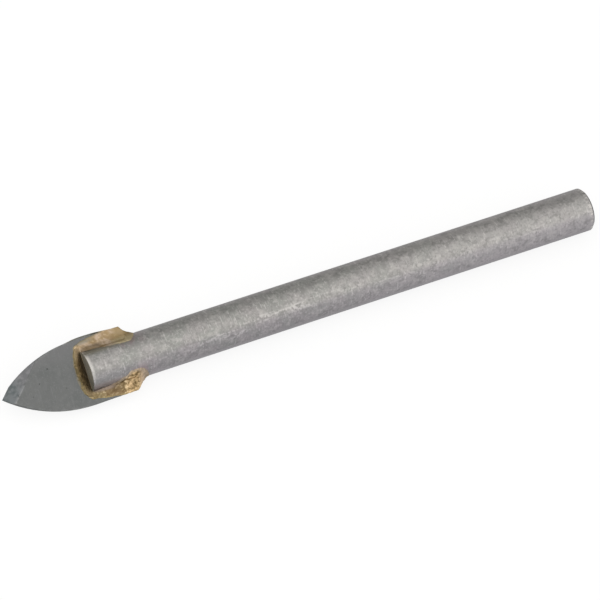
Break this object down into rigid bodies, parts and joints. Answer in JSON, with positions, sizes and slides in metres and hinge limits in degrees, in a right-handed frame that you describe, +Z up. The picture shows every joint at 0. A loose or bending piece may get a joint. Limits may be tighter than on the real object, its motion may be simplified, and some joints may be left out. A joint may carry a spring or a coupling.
{
  "type": "glass and tile drill bit",
  "caption": "Spear-point drill bit for glass and tile: a flat pointed carbide plate brazed into the slotted end of a plain round steel shank.",
  "frame": {"origin": "on the surface that the bit lies on, below the middle of its length and of its width", "axes": "+X along the bit from the point to the back end of the shank, +Y across it towards the raised edge of the tip plate, +Z up"},
  "size_m": [0.08, 0.0078, 0.0055],
  "materials": {
    "shank_steel": "dull grey, tumbled",
    "tip_carbide": "dark grey, finely ground",
    "braze_metal": "uneven, part oxidised"
  },
  "bodies": {
    "root": {"shank": "shank_steel", "carbide_tip": "tip_carbide", "braze": "braze_metal"}
  },
  "joints": []
}
